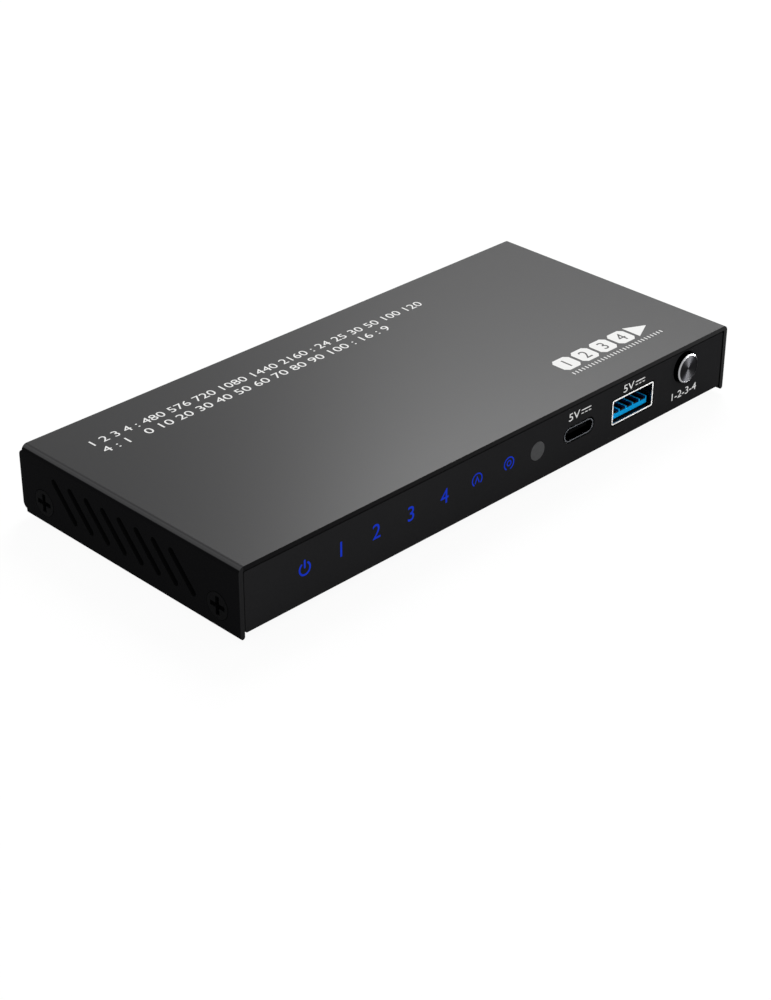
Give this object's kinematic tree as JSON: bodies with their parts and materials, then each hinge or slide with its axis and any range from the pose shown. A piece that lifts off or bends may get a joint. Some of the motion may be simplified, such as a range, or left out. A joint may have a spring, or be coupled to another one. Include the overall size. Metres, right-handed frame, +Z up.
{
  "type": "video input switch box",
  "caption": "Slim folded-steel switch box with slanted side vents, lit indicators, an infrared window, charging sockets and a round push button at the front, and video sockets at the rear.",
  "frame": {"origin": "middle of the whole footprint at table height, under the feet", "axes": "+X to the right along the front, +Y from the front to the rear, +Z up"},
  "size_m": [0.1392, 0.0658, 0.0162],
  "materials": {
    "cover_paint": "satin dark grey powder coat",
    "tray_paint": "satin black powder coat",
    "front_film": "printed black film, matte",
    "window_tint": "grey infrared-clear plastic",
    "spun_aluminium": "spun face, bright bevel",
    "black_screw": "black oxide",
    "foot_rubber": "matte",
    "socket_steel": "nickel-plated shell",
    "dark_steel": "dark-plated shell",
    "blue_plastic": "moulded",
    "black_plastic": "moulded",
    "contact_gold": "gold-plated",
    "board_green": "solder mask",
    "clear_acrylic": "polished acrylic",
    "lamp_white": "blue lamp body",
    "white_plastic": "moulded",
    "plain_steel": "zinc-plated",
    "plain_aluminium": "extruded, plain",
    "chip_resin": "moulded resin",
    "tape_grey": "soft tape",
    "ferrite": "pressed ferrite"
  },
  "bodies": {
    "case": {"top_cover": "cover_paint", "base_tray": "tray_paint", "front_film": "front_film", "cover_screws": "black_screw", "rubber_feet": "foot_rubber", "switch_plate": "plain_steel", "switch_body": "black_plastic", "switch_dome": "contact_gold", "ir_window": "window_tint", "ir_receiver": "chip_resin", "light_guide": "clear_acrylic", "indicator_lamps": "lamp_white", "charge_c_shell": "dark_steel", "charge_c_insert": "black_plastic", "charge_c_contacts": "contact_gold", "charge_a_shell": "socket_steel", "charge_a_insert": "blue_plastic", "charge_a_contacts": "contact_gold", "input_1_shell": "dark_steel", "input_1_insert": "black_plastic", "input_1_contacts": "contact_gold", "input_2_shell": "socket_steel", "input_2_insert": "black_plastic", "input_2_contacts": "contact_gold", "input_3_shell": "socket_steel", "input_3_insert": "black_plastic", "input_3_contacts": "contact_gold", "input_4_shell": "socket_steel", "input_4_insert": "black_plastic", "input_4_contacts": "contact_gold", "output_shell": "socket_steel", "output_insert": "black_plastic", "output_contacts": "contact_gold", "inlet_body": "black_plastic", "inlet_pin": "plain_steel", "inlet_spring": "contact_gold", "main_board": "board_green", "board_standoffs": "plain_steel", "board_screws": "plain_steel", "switch_chip": "chip_resin", "thermal_tape": "tape_grey", "heat_sink": "plain_aluminium", "port_chips": "chip_resin", "power_inductors": "ferrite", "capacitors": "plain_aluminium", "crystal": "plain_steel"},
    "button": {"select_button": "spun_aluminium", "switch_stem": "white_plastic"}
  },
  "joints": [
    {"name": "select_press", "type": "slide", "parent": "case", "child": "button", "axis": [0, 1, 0], "range_m": [0, 0.0005], "stiffness_N_per_m": 3000, "springref_m": -0.0001}
  ]
}
